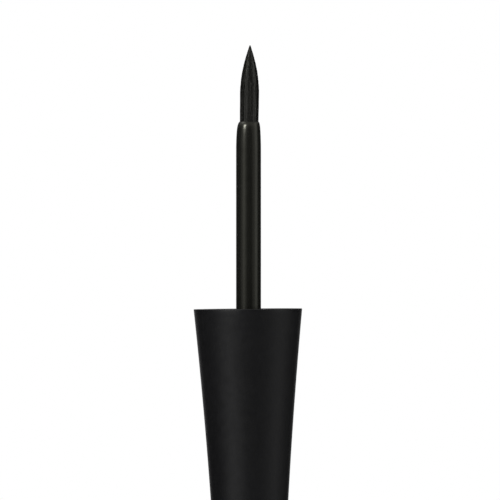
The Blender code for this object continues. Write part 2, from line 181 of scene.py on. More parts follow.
def moulded_skin_effect():
    """The skin of moulded plastic. Noise as broad as a fingertip moves the tone, noise as wide as a
    millimetre moves the roughness, and fine noise is the height of the mould's grain."""
    tree, given, out = effect(
        "moulded_skin",
        [("Color", "NodeSocketColor", (0.01, 0.01, 0.01, 1.0)),
         ("Tone Change", "NodeSocketFloat", 0.06), ("Roughness", "NodeSocketFloat", 0.4),
         ("Sheen Change", "NodeSocketFloat", 0.03), ("Grain Size", "NodeSocketFloat", 0.00015)],
        [("Color", "NodeSocketColor"), ("Roughness", "NodeSocketFloat"),
         ("Grain", "NodeSocketFloat")],
    )
    place = node(tree, "TexCoord").outputs["Object"]
    broad = node(tree, "TexNoise", {"Vector": place, "Scale": 110.0, "Detail": 2.0})
    narrow = node(tree, "TexNoise", {"Vector": place, "Scale": 900.0, "Detail": 3.0})
    pitch = node(tree, "Math", {0: 1.0, 1: given.outputs["Grain Size"]}, operation="DIVIDE")
    fine = node(tree, "TexNoise", {"Vector": place, "Scale": pitch.outputs[0], "Detail": 1.0})
    darkest = node(tree, "Math", {0: 1.0, 1: given.outputs["Tone Change"]}, operation="SUBTRACT")
    lightest = node(tree, "Math", {0: 1.0, 1: given.outputs["Tone Change"]}, operation="ADD")
    tone = node(tree, "MapRange", {"Value": broad.outputs["Fac"], "From Min": 0.3, "From Max": 0.7,
                                   "To Min": darkest.outputs[0], "To Max": lightest.outputs[0]})
    colour = node(tree, "VectorMath", {0: given.outputs["Color"], "Scale": tone.outputs["Result"]},
                  operation="SCALE")
    smoothest = node(tree, "Math", {0: given.outputs["Roughness"],
                                    1: given.outputs["Sheen Change"]}, operation="SUBTRACT")
    roughest = node(tree, "Math", {0: given.outputs["Roughness"],
                                   1: given.outputs["Sheen Change"]}, operation="ADD")
    sheen = node(tree, "MapRange", {"Value": narrow.outputs["Fac"],
                                    "From Min": 0.3, "From Max": 0.7,
                                    "To Min": smoothest.outputs[0], "To Max": roughest.outputs[0]})
    tree.links.new(colour.outputs["Vector"], out.inputs["Color"])
    tree.links.new(sheen.outputs["Result"], out.inputs["Roughness"])
    tree.links.new(fine.outputs["Fac"], out.inputs["Grain"])
    return tree


def polished_highlight_edge_effect():
    """The mask of an edge that runs round at one height, where handling has polished the plastic
    and a painted highlight lightens its colour: full at that height, it fades over the width, and
    noise breaks it up."""
    tree, given, out = effect(
        "polished_highlight_edge",
        [("Height", "NodeSocketFloat", 0.0), ("Width", "NodeSocketFloat", 0.0006)],
        [("Mask", "NodeSocketFloat")],
    )
    place = node(tree, "TexCoord").outputs["Object"]
    height = node(tree, "SeparateXYZ", {"Vector": place}).outputs["Z"]
    off = node(tree, "Math", {0: height, 1: given.outputs["Height"]}, operation="SUBTRACT")
    distance = node(tree, "Math", {0: off.outputs[0]}, operation="ABSOLUTE")
    near = node(tree, "MapRange", {"Value": distance.outputs[0],
                                   "From Min": 0.0, "From Max": given.outputs["Width"],
                                   "To Min": 1.0, "To Max": 0.0},
                interpolation_type="SMOOTHSTEP")
    patches = node(tree, "TexNoise", {"Vector": place, "Scale": 700.0, "Detail": 2.0})
    broken = node(tree, "MapRange", {"Value": patches.outputs["Fac"], "From Min": 0.35,
                                     "From Max": 0.65, "To Min": 0.35, "To Max": 1.0})
    mask = node(tree, "Math", {0: near.outputs["Result"], 1: broken.outputs["Result"]},
                operation="MULTIPLY")
    tree.links.new(mask.outputs[0], out.inputs["Mask"])
    return tree


moulded_skin = moulded_skin_effect()
polished_highlight_edge = polished_highlight_edge_effect()
# How much lighter the colour is along a polished edge: a painted highlight.
edge_highlight_lightening = 1.4
rubbed_smoothing = 0.8


def mixed(tree, factor, first, second):
    """A mix of two colours or two numbers. The first is a socket, and the second is a value."""
    kind = "RGBA" if first.type == "RGBA" else "FLOAT"
    slots = {"RGBA": (6, 7, 2), "FLOAT": (2, 3, 0)}[kind]
    blend = tree.nodes.new("ShaderNodeMix")
    blend.data_type = kind
    tree.links.new(factor, blend.inputs[0])
    tree.links.new(first, blend.inputs[slots[0]])
    blend.inputs[slots[1]].default_value = second
    return blend.outputs[slots[2]]


def moulded_plastic(name, colour, roughness, tone_change=0.08, sheen_change=0.03,
                    grain_size=0.00014, grain_height=0.0000008, edges=(), edge_width=0.0007):
    """Moulded plastic with the mould's skin, polished along the edges at the given heights, where a
    painted highlight also lightens the colour.
    """
    material = bpy.data.materials.new(name)
    material.use_nodes = True
    tree = material.node_tree
    shader = tree.nodes["Principled BSDF"]
    skin = node(tree, "Group", node_tree=moulded_skin)
    skin.inputs["Color"].default_value = (*colour, 1.0)
    skin.inputs["Tone Change"].default_value = tone_change
    skin.inputs["Roughness"].default_value = roughness
    skin.inputs["Sheen Change"].default_value = sheen_change
    skin.inputs["Grain Size"].default_value = grain_size
    tone, sheen = skin.outputs["Color"], skin.outputs["Roughness"]
    for height in edges:
        edge = node(tree, "Group", node_tree=polished_highlight_edge)
        edge.inputs["Height"].default_value = height
        edge.inputs["Width"].default_value = edge_width
        # Along the edge the colour is lightened: a painted highlight.
        edge_highlight_colour = (*(edge_highlight_lightening * c for c in colour), 1.0)
        tone = mixed(tree, edge.outputs["Mask"], tone, edge_highlight_colour)
        sheen = mixed(tree, edge.outputs["Mask"], sheen, rubbed_smoothing * roughness)
    grain = node(tree, "Bump", {"Height": skin.outputs["Grain"], "Distance": grain_height})
    tree.links.new(tone, shader.inputs["Base Color"])
    tree.links.new(sheen, shader.inputs["Roughness"])
    tree.links.new(grain.outputs["Normal"], shader.inputs["Normal"])
    return material


sleeve_black = (0.0050, 0.0050, 0.0051)
sleeve_plastic = moulded_plastic("sleeve_satin_black", sleeve_black, roughness=0.42,
                                 edges=(sleeve_low.z, sleeve_high.z))
sleeve_corners = wall(body_radius, sleeve_high.z, sleeve_low.z, outer_rows)
sleeve_corners += wall(lambda z: body_radius(z) - sleeve_wall, sleeve_low.z, sleeve_high.z,
                       inner_rows)
for i in (0, outer_rows, outer_rows + 1, outer_rows + inner_rows + 1):
    sleeve_corners[i] = (*sleeve_corners[i][:2], sleeve_rim_round)
sleeve_points, sleeve_faces = turned(rounded(sleeve_corners, ring=True), fine_turns, ring=True)
piece_from("outer_sleeve", sleeve_points, sleeve_faces, "bottle", "sleeve_black", sleeve_plastic,
           "bottle_sleeve")


# The foot plug.
# The flat disc that the bottle stands on, in the sleeve's plastic. Its spigot snaps into the
# sleeve's lower end, and the vial stands inside the spigot.

plug_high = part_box("base_plug")[1]
plug_flange = 0.0012
plug_spigot_wall = 0.0006
plug_edge_round = 0.0004
crisp_round = 0.0001
small_round = 0.0002
slide_fit = 0.0001
plug_outer = float(body_radius(sleeve_low.z)) - sleeve_wall - slide_fit
plug_inner = plug_outer - plug_spigot_wall
plug_corners = [
    (0.0, plug_flange, 0.0), (plug_inner, plug_flange, crisp_round),
    (plug_inner, plug_high.z, crisp_round), (plug_outer, plug_high.z, small_round),
    (plug_outer, plug_flange, crisp_round),
    (float(body_radius(plug_flange)), plug_flange, crisp_round),
    (float(body_radius(0.0)), 0.0, plug_edge_round), (0.0, 0.0, 0.0),
]
plug_plastic = moulded_plastic("foot_satin_black", sleeve_black, roughness=0.45,
                               edges=(plug_flange,), edge_width=0.0004)
plug_points, plug_faces = turned(rounded(plug_corners), fine_turns)
piece_from("foot_plug", plug_points, plug_faces, "bottle", "sleeve_black", plug_plastic,
           "base_plug")


# The vial.
# The inner bottle that holds the liquid, blow-moulded in glossier black plastic. Its neck stands
# out of the shoulder and carries one and a half turns of right-handed screw thread.

vial_low, vial_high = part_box("vial")
vial_wall = 0.0008
vial_outer = plug_inner - slide_fit
vial_inner = vial_outer - vial_wall
neck_radius = 0.0040
neck_wall = 0.0009
land_z = 0.0424
collar_plate_z = 0.0408
vial_shoulder_z = 0.0406
vial_shoulder_rise = 0.0015
thread_depth = 0.0005
thread_lead = 0.0025
thread_turns = 1.5
thread_start = 0.0022
thread_half_width = 0.0005
thread_crest_half_width = 0.00014
thread_fade = 0.15
thread_rows = 200
screw_sides = 160
thread_edge_gap = 0.0003
neck_lip = 0.0004
neck_foot_round = 0.00015
wide_round = 0.0003
blown_round = 0.0006


def thread_ridge(start_z, way):
    """What a right-handed screw ridge adds to a wall's radius. Its middle climbs one lead a turn
    from start_z. Its section is a trapezium with smooth corners, and its height fades in and out
    over the first and last part of a turn. The way is 1 outwards and -1 inwards."""
    flank = thread_half_width - thread_crest_half_width

    def ridge(angle, height):
        added = np.zeros_like(height + angle)
        for whole in range(math.ceil(thread_turns)):
            turn = angle / (2 * np.pi) + whole
            off = np.abs(height - start_z - thread_lead * turn)
            rise = np.clip((thread_half_width - off) / flank, 0, 1)
            ends = np.clip(np.minimum(turn, thread_turns - turn) / thread_fade, 0, 1)
            full = rise * rise * (3 - 2 * rise) * ends * ends * (3 - 2 * ends)
            added = np.maximum(added, full)
        return way * thread_depth * added
    return ridge


vial_black = (0.0050, 0.0050, 0.0051)
vial_plastic = moulded_plastic("vial_gloss_black", vial_black, roughness=0.30, sheen_change=0.04,
                               grain_size=0.0003, edges=(vial_high.z,), edge_width=0.0005)
neck_rows = wall(lambda z: neck_radius, vial_high.z - neck_lip, land_z + thread_edge_gap,
                 thread_rows)
neck_thread = thread_ridge(shoulder_z + thread_start, 1)
vial_floor_z = vial_low.z + vial_wall
bore_radius = neck_radius - neck_wall
same_radius = 1e-6
vial_corners = [
    (0.0, vial_floor_z, 0.0), (vial_inner, vial_floor_z, blown_round),
    (vial_inner, vial_shoulder_z - vial_shoulder_rise, blown_round),
    (bore_radius, vial_shoulder_z, wide_round), (bore_radius, vial_high.z, small_round),
    (neck_radius, vial_high.z, small_round), *neck_rows, (neck_radius, land_z, neck_foot_round),
    (neck_radius + thread_depth, land_z, neck_foot_round),
    (neck_radius + thread_depth, vial_shoulder_z, small_round),
    (vial_outer, vial_shoulder_z - vial_shoulder_rise, blown_round),
    (vial_outer, vial_low.z, vial_wall), (0.0, vial_low.z, 0.0),
]


def neck_only(angle, radius, height):
    """The thread's ridge on the neck's outer wall, and nothing on the rest of the vial."""
    on_neck = (radius > neck_radius - same_radius) & (height > land_z) & (height < vial_high.z)
    return np.where(on_neck, neck_thread(angle, height), 0.0)


vial_points, vial_faces = turned(rounded(vial_corners), screw_sides, ridge=neck_only)
piece_from("threaded_vial", vial_points, vial_faces, "bottle", "vial_black", vial_plastic, "vial")


# The shoulder collar.
# The ring that closes the sleeve's top round the neck, in the sleeve's plastic. Its spigot snaps
# into the sleeve and holds the vial down by its shoulder.

collar_low, collar_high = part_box("shoulder_collar")
collar_bore = neck_radius + thread_depth + slide_fit
collar_flange_z = 0.0412
collar_spigot_wall = 0.0008
collar_outer = float(body_radius(sleeve_high.z)) - sleeve_wall - slide_fit
collar_corners = [
    (collar_bore, collar_high.z, neck_foot_round), (shoulder_radius, collar_high.z, small_round),
    (float(body_radius(collar_flange_z)), collar_flange_z, crisp_round),
    (collar_outer, collar_flange_z, crisp_round), (collar_outer, collar_low.z, small_round),
    (collar_outer - collar_spigot_wall, collar_low.z, small_round),
    (collar_outer - collar_spigot_wall, collar_plate_z, crisp_round),
    (collar_bore, collar_plate_z, crisp_round),
]
collar_plastic = moulded_plastic("collar_satin_black", sleeve_black, roughness=0.38,
                                 edges=(collar_high.z,), edge_width=0.0003)
collar_points, collar_faces = turned(rounded(collar_corners, ring=True), fine_turns, ring=True)
piece_from("neck_collar", collar_points, collar_faces, "bottle", "sleeve_black", collar_plastic,
           "shoulder_collar")


# The wiper.
# The soft insert pressed into the neck, moulded in natural polyethylene. Its cone narrows to a
# lip that strips the stem and the brush as they are drawn out.

wiper_low, wiper_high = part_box("wiper")
wiper_wall = 0.0005
wiper_flange = 0.0006
wiper_outer = bore_radius - slide_fit
wiper_cone_length = 0.0025
wiper_cone_z = wiper_low.z + wiper_cone_length
wiper_cone_round = 0.0004
wiper_hole = 0.00194
wiper_corners = [
    (wiper_outer - wiper_wall, wiper_high.z, small_round),
    (wiper_high.x, wiper_high.z, small_round),
    (wiper_high.x, wiper_high.z - wiper_flange, crisp_round),
    (wiper_outer, wiper_high.z - wiper_flange, crisp_round),
    (wiper_outer, wiper_cone_z, wiper_cone_round),
    (wiper_hole + wiper_wall, wiper_low.z, crisp_round), (wiper_hole, wiper_low.z, crisp_round),
    (wiper_outer - wiper_wall, wiper_cone_z, wiper_cone_round),
]
wiper_milky = (0.62, 0.62, 0.58)
wiper_plastic = moulded_plastic("wiper_natural", wiper_milky, roughness=0.45, tone_change=0.03,
                                grain_size=0.0002, grain_height=0.000002)
wiper_shader = wiper_plastic.node_tree.nodes["Principled BSDF"]
wiper_shader.inputs["Subsurface Weight"].default_value = 0.25
wiper_shader.inputs["Subsurface Radius"].default_value = (1.0, 0.9, 0.8)
wiper_shader.inputs["Subsurface Scale"].default_value = 0.0006
wiper_points, wiper_faces = turned(rounded(wiper_corners, ring=True), slim_turns, ring=True)
piece_from("neck_wiper", wiper_points, wiper_faces, "bottle", "wiper_natural", wiper_plastic,
           "wiper")


# The mixing ball.
# A loose polished steel ball on the vial's floor, which stirs the liquid when the bottle is shaken.

ball_low, ball_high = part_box("mixing_ball")
ball_radius = 0.0015
ball_x = (ball_low.x + ball_high.x) / 2
ball_z = (ball_low.z + ball_high.z) / 2
ball_rows = 49
ball_turns = 96
ball_angle = np.linspace(0.0, np.pi, ball_rows)
ball_outline = ball_radius * np.stack((np.sin(ball_angle), np.cos(ball_angle)), axis=1)
ball_outline[:, 1] += ball_z
ball_steel = bpy.data.materials.new("ball_steel")
ball_steel.use_nodes = True
ball_tree = ball_steel.node_tree
ball_shader = ball_tree.nodes["Principled BSDF"]
ball_skin = node(ball_tree, "Group", node_tree=moulded_skin)
ball_skin.inputs["Color"].default_value = (0.56, 0.56, 0.57, 1.0)
ball_skin.inputs["Tone Change"].default_value = 0.04
ball_skin.inputs["Roughness"].default_value = 0.14
ball_skin.inputs["Sheen Change"].default_value = 0.05
ball_skin.inputs["Grain Size"].default_value = 0.00006
ball_grain = node(ball_tree, "Bump", {"Height": ball_skin.outputs["Grain"], "Distance": 0.0000003})
ball_tree.links.new(ball_skin.outputs["Color"], ball_shader.inputs["Base Color"])
ball_tree.links.new(ball_skin.outputs["Roughness"], ball_shader.inputs["Roughness"])
ball_tree.links.new(ball_grain.outputs["Normal"], ball_shader.inputs["Normal"])
ball_shader.inputs["Metallic"].default_value = 1.0
ball_points, ball_faces = turned(ball_outline, ball_turns, centre_x=ball_x)
piece_from("steel_ball", ball_points, ball_faces, "ball", "ball_steel", ball_steel, "mixing_ball")


# The cap.
# The flared outer shell, which is the applicator's handle: satin black polypropylene, moulded
# with a crisp rim at its mouth and a closed, softly rounded crown, on which it stands.

cap_low, cap_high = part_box("cap_shell")
cap_x = (cap_low.x + cap_high.x) / 2
mouth_z = cap_high.z
mouth_radius = 0.0080
mouth_flare = 0.099
crown_radius = 0.0042
crown_round = 0.0006
crown_wall = 0.0012
cap_wall = 0.0010
rim_round = 0.00008
cap_inner_rows = 40
cap_outer_rows = 90
cap_lean = math.radians(0.5)
lean_pivot_z = 0.0573
lean_full_z = 0.040


def cap_radius(z):
    """The cap's outer radius: a parabola in the depth below the mouth, widest at the mouth and
    almost straight where it reaches the crown's radius."""
    depth = mouth_z - z
    bend = (crown_radius - mouth_radius + mouth_flare * mouth_z) / mouth_z ** 2
    return mouth_radius - mouth_flare * depth + bend * depth ** 2


def cap_bore(z):
    """The radius of the cap's inner wall."""
    return cap_radius(z) - cap_wall


def leaned(points):
    """The points of the cap, or of what is pressed into it, leaned to -X against the upright stem
    by a small turn about its socket. The lean fades out towards the crown, which stands flat."""
    share = np.clip(points[:, 2:] / lean_full_z, 0.0, 1.0)
    share = share * share * (3 - 2 * share)
    off = points - (cap_x, 0.0, lean_pivot_z)
    return points + cap_lean * share * np.stack((-off[:, 2], 0 * off[:, 1], off[:, 0]), axis=1)


cap_inner = wall(cap_bore, crown_wall, mouth_z, cap_inner_rows)
cap_inner[0] = (*cap_inner[0][:2], wide_round)
cap_inner[-1] = (*cap_inner[-1][:2], rim_round)
cap_outer = wall(cap_radius, mouth_z, 0.0, cap_outer_rows)
cap_outer[0] = (*cap_outer[0][:2], rim_round)
cap_outer[-1] = (*cap_outer[-1][:2], crown_round)
cap_corners = [(0.0, crown_wall, 0.0), *cap_inner, *cap_outer, (0.0, 0.0, 0.0)]
cap_black = (0.0018, 0.0018, 0.0025)
# The crown's edge, where the cap stands, is polished and carries a painted highlight.
crown_edge_z = 0.0002
cap_plastic = moulded_plastic("cap_satin_black", cap_black, roughness=0.40, tone_change=0.05,
                              edges=(crown_edge_z,), edge_width=0.0005)
cap_points, cap_faces = turned(rounded(cap_corners), fine_turns, centre_x=cap_x)
piece_from("cap_outer", leaned(cap_points), cap_faces, "applicator", "cap_satin_black",
           cap_plastic, "cap_shell")


# The insert.
# The inner cap, pressed into the mouth: black plastic with the screw thread that grips the neck.
# Its web closes the cap round the stem, and its boss holds the stem's barbed root.

insert_low, insert_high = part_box("cap_insert")
insert_flange = 0.0008
thread_play = 0.00015
insert_bore = neck_radius + thread_depth + thread_play
web_z = 0.0576
web_foot_z = 0.0564
socket_z = 0.0518
boss_wall = 0.0011
stem_radius = 0.00184
insert_socket = stem_radius + slide_fit
insert_flange_foot = insert_high.z - insert_flange
insert_seat = float(cap_bore(web_foot_z)) - slide_fit
insert_lip = float(cap_bore(insert_flange_foot)) - slide_fit
insert_rows = wall(lambda z: insert_bore, web_z + thread_edge_gap, insert_high.z - thread_edge_gap,
                   thread_rows)
insert_thread_z = mouth_z - thread_start - thread_lead / 4 - thread_lead * thread_turns
insert_thread = thread_ridge(insert_thread_z, -1)
insert_corners = [
    (0.0, socket_z, 0.0), (insert_socket, socket_z, crisp_round),
    (insert_socket, web_z, crisp_round), (insert_bore, web_z, small_round), *insert_rows,
    (insert_bore, insert_high.z, small_round), (insert_lip, insert_high.z, crisp_round),
    (insert_lip, insert_flange_foot, crisp_round), (insert_seat, insert_flange_foot, crisp_round),
    (insert_seat, web_foot_z, wide_round), (insert_socket + boss_wall, web_foot_z, wide_round),
    (insert_socket + boss_wall, insert_low.z, wide_round), (0.0, insert_low.z, 0.0),
]


def bore_only(angle, radius, height):
    """The thread's ridge on the insert's bore, and nothing on the rest of the insert."""
    at_bore = np.abs(radius - insert_bore) < same_radius
    in_bore = at_bore & (height > web_z) & (height < insert_high.z)
    return np.where(in_bore, insert_thread(angle, height), 0.0)


insert_plastic = moulded_plastic("insert_black", vial_black, roughness=0.35, grain_size=0.0003,
                                 edges=(insert_high.z,), edge_width=0.0004)
insert_points, insert_faces = turned(rounded(insert_corners), screw_sides, centre_x=cap_x,
                                     ridge=bore_only)
piece_from("threaded_insert", leaned(insert_points), insert_faces, "applicator", "vial_black",
           insert_plastic, "cap_insert")


# The neck seal.
# A punched washer of pale closed-cell foam that lies on the insert's web. The closed cap presses
# it on the wiper's flange.

seal_low, seal_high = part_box("neck_seal")
seal_inner = stem_radius + slide_fit
seal_width = 0.0022
seal_outer = seal_inner + seal_width
cut_round = 0.00005
seal_corners = [
    (seal_inner, seal_high.z, crisp_round), (seal_outer, seal_high.z, crisp_round),
    (seal_outer, seal_low.z, cut_round), (seal_inner, seal_low.z, cut_round),
]
seal_foam = bpy.data.materials.new("seal_foam")
seal_foam.use_nodes = True
seal_tree = seal_foam.node_tree
seal_shader = seal_tree.nodes["Principled BSDF"]
seal_place = node(seal_tree, "TexCoord").outputs["Object"]
seal_cells = node(seal_tree, "TexVoronoi", {"Vector": seal_place, "Scale": 6000.0})
# The foam is paler in each cell's middle and darker towards its edge, where the bump sinks in: the
# foam's own pale tone with painted shade in the grooves between cells.
seal_tone_and_shade = node(seal_tree, "MapRange", {"Value": seal_cells.outputs["Distance"],
                                         "To Min": 0.55, "To Max": 0.38})
seal_colour = node(seal_tree, "CombineColor", {"Red": seal_tone_and_shade.outputs["Result"],
                                               "Green": seal_tone_and_shade.outputs["Result"],
                                               "Blue": seal_tone_and_shade.outputs["Result"]})
seal_bump = node(seal_tree, "Bump", {"Height": seal_cells.outputs["Distance"], "Distance": 0.00002},
                 invert=True)
seal_tree.links.new(seal_colour.outputs["Color"], seal_shader.inputs["Base Color"])
seal_tree.links.new(seal_bump.outputs["Normal"], seal_shader.inputs["Normal"])
seal_shader.inputs["Roughness"].default_value = 0.9
seal_points, seal_faces = turned(rounded(seal_corners, ring=True), slim_turns, centre_x=cap_x,
                                 ring=True)
piece_from("foam_washer", leaned(seal_points), seal_faces, "applicator", "seal_foam", seal_foam,
           "neck_seal")


# The stem.
# The slim rod that carries the brush, moulded in black acetal with a smoother, glossier skin than
# the cap's. Its nose is round, with a blind socket for the fibres, and its root has three barbs.

stem_low, stem_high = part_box("stem")
nose_z = stem_high.z
nose_taper = 0.00019
nose_length = 0.0042
nose_lip = 0.00020
nose_lip_length = 0.00035
nose_lean = 0.00008
nose_lean_length = 0.0007
nose_tip_length = 0.0012
nose_tip_rows = 31
nose_body_start = 0.0013
nose_body_rows = 22
shaft_high_z = 0.0910
shaft_low_z = 0.0570
shaft_rows = 24
barb_height = 0.00014
barb_pitch = 0.0012
tuft_radius = 0.0014
tuft_socket = tuft_radius + slide_fit / 2
tuft_socket_depth = 0.0040


def nose_radius(depth):
    """The stem's radius below its tip: its full radius less a slow taper, which falls with the
    square of what is left of the nose's length, and less a lip that fades as an exponential."""
    left = np.clip(1 - depth / nose_length, 0.0, 1.0)
    return stem_radius - nose_taper * left ** 2 - nose_lip * np.exp(-depth / nose_lip_length)


nose_depth = np.concatenate((np.linspace(0.0, nose_tip_length, nose_tip_rows),
                             np.linspace(nose_body_start, nose_length, nose_body_rows)))
nose_outline = np.stack((nose_radius(nose_depth), nose_z - nose_depth), axis=1)
stem_barbs = []
for i in (3, 2, 1):
    barb_z = stem_low.z + barb_pitch * i
    stem_barbs += [(stem_radius, barb_z), (stem_radius - barb_height, barb_z - barb_pitch / 4),
                   (stem_radius - barb_height, barb_z - barb_pitch / 2)]
stem_outline = np.concatenate((
    [(0.0, nose_z - tuft_socket_depth), (tuft_socket, nose_z - tuft_socket_depth)],
    nose_outline, np.stack((np.full(shaft_rows, stem_radius),
                            np.linspace(shaft_high_z, shaft_low_z, shaft_rows)), axis=1),
    stem_barbs, [(stem_radius - barb_height, stem_low.z), (0.0, stem_low.z)],
))
stem_black = (0.0058, 0.0058, 0.0049)
stem_plastic = moulded_plastic("stem_gloss_black", stem_black, roughness=0.25, tone_change=0.05,
                               sheen_change=0.02, grain_size=0.0004, grain_height=0.0000006)
stem_shader = stem_plastic.node_tree.nodes["Principled BSDF"]
stem_shader.inputs["Specular Tint"].default_value = (1.0, 1.0, 0.85, 1.0)
stem_points, stem_faces = turned(stem_outline, fine_turns, centre_x=cap_x)
stem_points[:, 0] += nose_lean * np.exp((stem_points[:, 2] - nose_z) / nose_lean_length)
piece_from("brush_stem", stem_points, stem_faces, "applicator", "stem_black", stem_plastic, "stem")


# The brush's root.
# The fibres' melted end, a grooved plug of fused nylon pressed into the stem's socket. It is out
# of sight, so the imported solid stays, with the skin of melted plastic.

root_black = (0.012, 0.012, 0.012)
root_nylon = moulded_plastic("root_fused_nylon", root_black, roughness=0.5, tone_change=0.2,
                             sheen_change=0.08, grain_size=0.0001, grain_height=0.000004)
root_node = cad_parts["brush_root"]
root_node.data.materials.clear()
root_node.data.materials.append(root_nylon)


# The brush.
# Fine black synthetic fibres that stand on a slice of their fused end and come to a long point.
# Liquid has drawn them into tufts with grooves between, and they lean a little to +X from use.

tuft_low, tuft_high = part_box("brush_tuft")
tuft_foot = nose_z - slide_fit
tuft_length = tuft_high.z - tuft_foot
tuft_point_length = 0.00694
tuft_point_power = 1.9
tuft_point_blunt = 0.06
tuft_blunt_length = 0.0008
tuft_point_fill = 0.1
tuft_gather = 0.3
tuft_swell = 0.02
tuft_pinch = 0.03
tuft_pinch_length = 0.0015
tuft_sag = 0.00002
tuft_sag_length = 0.0003
tuft_lean = 0.00012
tuft_count = 2200
tuft_backing = 0.0004
tuft_grooves = 17
groove_scatter = 0.7
groove_depth = 0.075
groove_least = 0.4
groove_width = 0.07
groove_middle = 0.5
groove_reach = 0.3
front_groove = math.radians(-82)
front_groove_depth = 0.20
front_groove_width = 0.13
front_groove_middle = 0.63
front_groove_reach = 0.15
strand_radius = 0.000032
strand_thinning = 0.4
strand_scatter = 0.02
strand_shortfall = 0.04
strand_wave = 0.008
strand_least_waves = 0.6
strand_wander = 0.05
strand_twist = 0.09
strand_stations = 12
strand_sides = 3
lock_share = 0.5
middle_tone = 0.5
draw = np.random.default_rng(4801)


def tuft_share(height):
    """The tuft's radius at a height over the nose, as a share of its full radius: full up to where
    the point starts, then 1 less a power of the share of the point's length. The very tip is
    blunt, which adds a little that fades below it as an exponential."""
    along = np.clip((height - tuft_length + tuft_point_length) / tuft_point_length, 0.0, 1.0)
    blunt = tuft_point_blunt * np.exp((height - tuft_length) / tuft_blunt_length)
    return 1 - along ** tuft_point_power + blunt


def fibres():
    """The points and faces of the tuft's fibres, and each one's tone. Roots are spread as a
    sunflower's seeds. A fibre gathers towards the axis by a power of the tuft's own share there,
    thins towards its tip, and ends where it reaches the tuft's outside. Bell-shaped grooves at
    uneven angles part the outer fibres, deepest half-way up. A fibre is a thin prism, one side of
    which faces outwards, as wet fibres lie."""
    index = np.arange(tuft_count)
    share = np.sqrt((index + 0.5) / tuft_count)
    angle = index * np.pi * (3 - np.sqrt(5)) + draw.normal(0, strand_scatter, tuft_count)
    tip_down = tuft_length - tuft_point_length * np.linspace(0.0, 1.0, 200)
    length = np.interp(share ** (1 / (1 - tuft_gather)), tuft_share(tip_down), tip_down)
    length = length * (1 - strand_shortfall * share * draw.random(tuft_count))
    groove = np.arange(tuft_grooves) + groove_scatter * draw.random(tuft_grooves)
    groove = 2 * np.pi * groove / tuft_grooves
    groove[0] = front_groove
    off = np.abs((angle[:, None] - groove[None] + np.pi) % (2 * np.pi) - np.pi)
    depth = groove_least + (1 - groove_least) * draw.random(tuft_grooves)
    depth = groove_depth * depth
    parted = (depth[None, 1:] * np.exp(-(off[:, 1:] / groove_width) ** 2)).max(axis=1) * share ** 2
    front = front_groove_depth * np.exp(-(off[:, 0] / front_groove_width) ** 2) * share
    along = np.linspace(0.0, 1.0, strand_stations)[None]
    height = -tuft_backing / 2 + (length[:, None] + tuft_backing / 2) * along
    above = np.clip(height, 0.0, None)
    gather = tuft_share(height) ** tuft_gather
    drawn_in = np.clip(1 - tuft_share(height), 0.0, 1.0)
    bell = np.exp(-((above / tuft_length - groove_middle) / groove_reach) ** 2)
    front_bell = np.exp(-((above / tuft_length - front_groove_middle) / front_groove_reach) ** 4)
    fill = 1 + tuft_point_fill * drawn_in ** (2 / tuft_point_power)
    wave = draw.random((2, tuft_count, 1))
    swing = np.sin(2 * np.pi * (along * (strand_least_waves + wave[0]) + wave[1]))
    loose = 1 + strand_wave * swing * (above > 0)
    pinch = 1 + tuft_swell - tuft_pinch * np.exp(-above / tuft_pinch_length)
    spread = (tuft_radius - strand_radius) * pinch * gather * fill
    spread = spread * (1 - parted[:, None] * bell) * (1 - front[:, None] * front_bell)
    reach = spread * np.minimum(share[:, None] * loose, 1.0)
    turn = angle[:, None] + strand_wander * (draw.random((tuft_count, 1)) - 0.5) * along
    sag = tuft_sag * (1 - np.exp(-above / tuft_sag_length))
    lean = nose_lean + sag + tuft_lean * above / tuft_length
    middle = np.stack((cap_x + reach * np.cos(turn) + lean, reach * np.sin(turn),
                       tuft_foot + height), axis=2)
    width = strand_radius * np.sqrt(gather) * (1 - strand_thinning * along ** 4)
    outward = angle + draw.normal(0, strand_twist, tuft_count)
    corner = outward[:, None] + 2 * np.pi * (np.arange(strand_sides)[None] + 0.5) / strand_sides
    round_it = np.stack((np.cos(corner), np.sin(corner), np.zeros_like(corner)), axis=2)
    points = middle[:, :, None, :] + width[:, :, None, None] * round_it[:, None]
    points = points.reshape(-1, 3)
    first = (np.arange(tuft_count) * strand_stations * strand_sides)[:, None, None]
    ring = (np.arange(strand_stations - 1) * strand_sides)[None, :, None]
    side = np.arange(strand_sides)[None, None]
    beside = (side + 1) % strand_sides
    low, high = first + ring, first + ring + strand_sides
    quads = np.stack((low + side, low + beside, high + beside, high + side), axis=3).reshape(-1, 4)
    roots = (first[:, :, 0] + np.array((2, 1, 0))[None]).reshape(-1, 3)
    last = first[:, :, 0] + (strand_stations - 1) * strand_sides
    tips = (last + np.arange(3)[None]).reshape(-1, 3)
    lock_tone = draw.random(tuft_grooves)[off.argmin(axis=1)]
    tone = (1 - lock_share) * draw.random(tuft_count) + lock_share * lock_tone
    tone = np.repeat(tone, strand_stations * strand_sides)
    return points, quads.tolist() + roots.tolist() + tips.tolist(), tone


